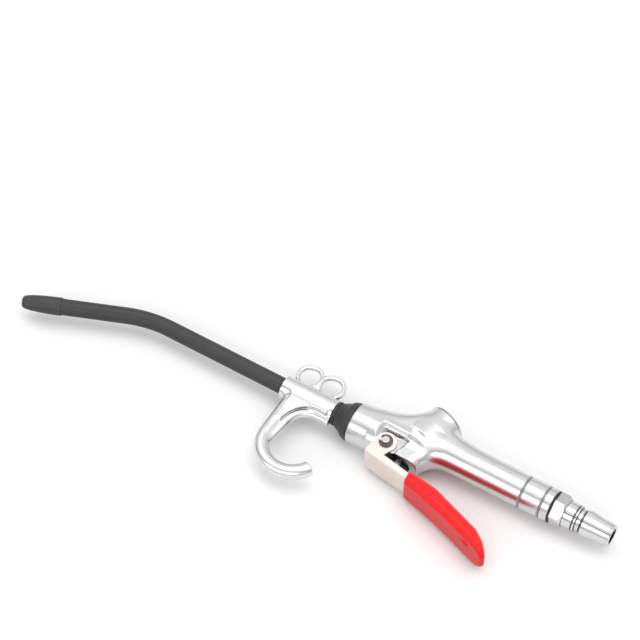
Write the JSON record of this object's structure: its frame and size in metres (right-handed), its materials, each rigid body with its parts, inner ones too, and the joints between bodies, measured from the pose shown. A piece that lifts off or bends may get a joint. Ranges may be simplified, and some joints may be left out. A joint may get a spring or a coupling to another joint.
{
  "type": "pneumatic air duster",
  "caption": "Hand-held air duster: cast body with a lever valve, quick-connect inlet plug, hanging hook with two eyes, and a bent black wand with a soft tip.",
  "frame": {"origin": "centre of the inlet plug's tip face, on the handle's axis", "axes": "+X along the handle towards the nozzle, +Y towards the lever, +Z square to the plane of the lever and the bend, so the duster lies on its side"},
  "size_m": [0.302, 0.0682, 0.0192],
  "materials": {
    "polished_alloy": "satin polished cast alloy",
    "plated_steel": "bright plated",
    "bright_plate": "bright plated",
    "lever_steel": "satin, faintly warm",
    "red_vinyl": "glossy soft dipped skin",
    "black_rubber": "satin",
    "black_sleeve": "satin",
    "black_tip": "satin",
    "spring_steel": "bright",
    "black_steel": "blackened",
    "brass": "machined"
  },
  "bodies": {
    "gun": {"inlet_plug": "plated_steel", "inlet_seal": "black_rubber", "body": "polished_alloy", "valve_cap": "polished_alloy", "cap_ring": "black_rubber", "valve_spring": "spring_steel", "rod_ring": "black_rubber", "gland_nut": "black_steel", "lever_pin": "plated_steel", "pin_clip": "black_steel", "adapter_washer": "black_rubber", "wand_adapter": "brass", "nozzle_boot": "black_rubber", "wand_tube": "spring_steel", "wand_sleeve": "black_sleeve", "nozzle_tip": "black_tip"},
    "trigger": {"lever": "lever_steel", "lever_grip": "red_vinyl"},
    "valve_stem": {"push_rod": "spring_steel", "poppet": "brass", "poppet_seal": "black_rubber"},
    "hook": {"hanger": "bright_plate"}
  },
  "joints": [
    {"name": "lever_hinge", "type": "hinge", "parent": "gun", "child": "trigger", "pos_m": [0.1093, 0.0134, 0], "axis": [0, 0, 1], "range_deg": [0, 18], "stiffness_Nm_per_rad": 0.08, "springref_deg": -8.59},
    {"name": "valve_slide", "type": "slide", "parent": "gun", "child": "valve_stem", "axis": [-0.2756, -0.9613, 0], "range_m": [0, 0.0024], "deforming": ["valve_spring"]},
    {"name": "hanger_turn", "type": "hinge", "parent": "gun", "child": "hook", "pos_m": [0.1533, 0.0078, 0], "axis": [1, 0, 0], "continuous": true}
  ],
  "couplings": [
    {"joint": "valve_slide", "follows": "lever_hinge", "m_per_rad": 0.00743}
  ]
}
